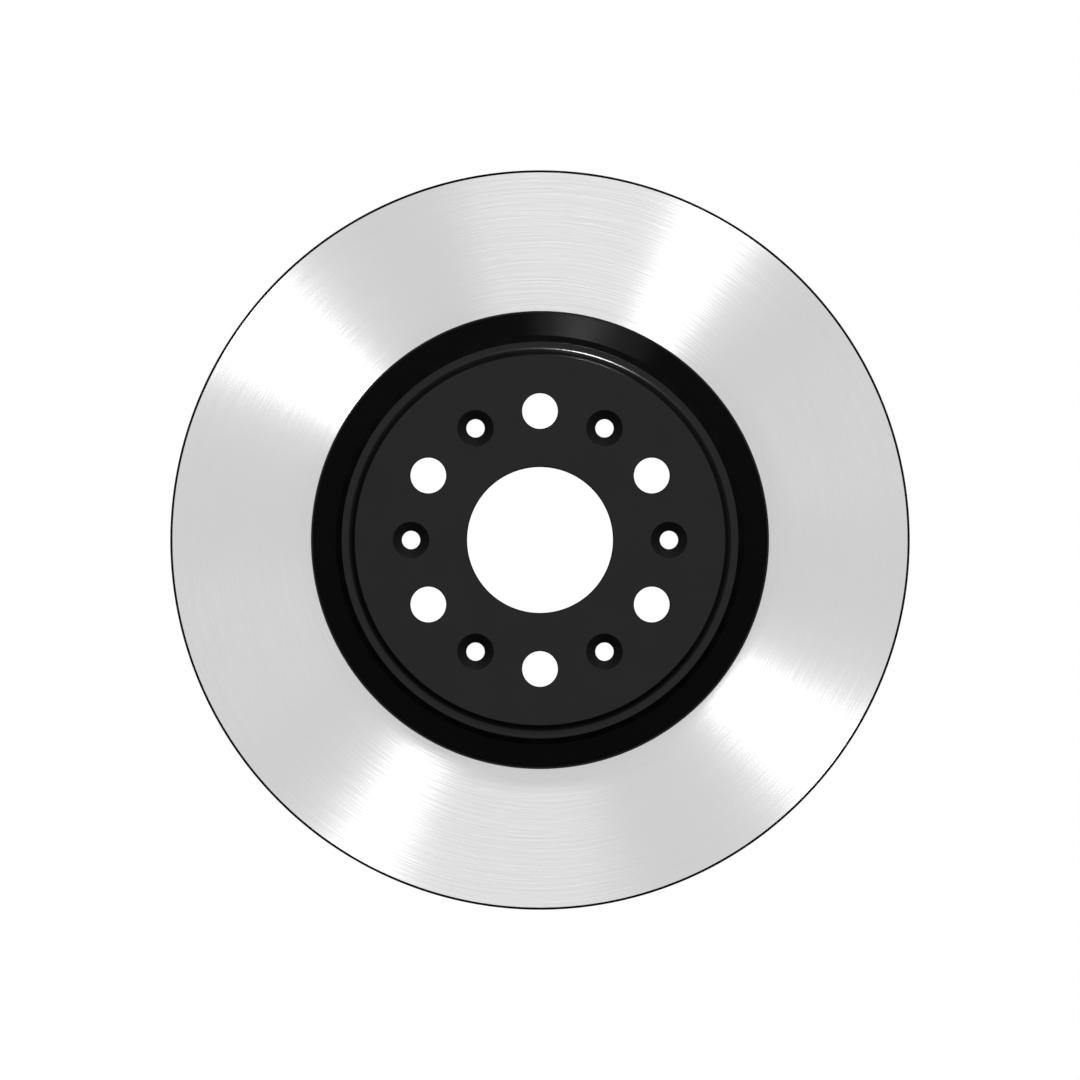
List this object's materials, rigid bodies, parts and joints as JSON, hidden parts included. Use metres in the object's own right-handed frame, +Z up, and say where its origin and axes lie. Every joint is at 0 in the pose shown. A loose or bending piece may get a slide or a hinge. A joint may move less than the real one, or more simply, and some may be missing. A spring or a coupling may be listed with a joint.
{
  "type": "ventilated brake disc",
  "caption": "Ventilated front brake disc: black-coated top hat with stud holes and countersunk holes, two bare friction cheeks and straight cooling vanes between them.",
  "frame": {"origin": "centre of the hub face, the plane where the disc seats on its hub", "axes": "+Y along the disc's axis towards the vehicle, -Y towards the wheel, +Z up with a stud hole at the top"},
  "size_m": [0.345, 0.054, 0.345],
  "materials": {
    "coated_iron": "black protective coating, matt, over cast and turned iron",
    "machined_iron": "bare iron, finely turned in circles; rim, bore and vent walls coated black"
  },
  "bodies": {
    "root": {"mounting_flange": "coated_iron", "bell_wall": "coated_iron", "neck_ring": "coated_iron", "outboard_cheek": "machined_iron", "inboard_cheek": "machined_iron", "cooling_vane_01": "coated_iron", "cooling_vane_02": "coated_iron", "cooling_vane_03": "coated_iron", "cooling_vane_04": "coated_iron", "cooling_vane_05": "coated_iron", "cooling_vane_06": "coated_iron", "cooling_vane_07": "coated_iron", "cooling_vane_08": "coated_iron", "cooling_vane_09": "coated_iron", "cooling_vane_10": "coated_iron", "cooling_vane_11": "coated_iron", "cooling_vane_12": "coated_iron", "cooling_vane_13": "coated_iron", "cooling_vane_14": "coated_iron", "cooling_vane_15": "coated_iron", "cooling_vane_16": "coated_iron", "cooling_vane_17": "coated_iron", "cooling_vane_18": "coated_iron", "cooling_vane_19": "coated_iron", "cooling_vane_20": "coated_iron", "cooling_vane_21": "coated_iron", "cooling_vane_22": "coated_iron", "cooling_vane_23": "coated_iron", "cooling_vane_24": "coated_iron", "cooling_vane_25": "coated_iron", "cooling_vane_26": "coated_iron", "cooling_vane_27": "coated_iron", "cooling_vane_28": "coated_iron", "cooling_vane_29": "coated_iron", "cooling_vane_30": "coated_iron", "cooling_vane_31": "coated_iron", "cooling_vane_32": "coated_iron", "cooling_vane_33": "coated_iron", "cooling_vane_34": "coated_iron", "cooling_vane_35": "coated_iron", "cooling_vane_36": "coated_iron"}
  },
  "joints": []
}
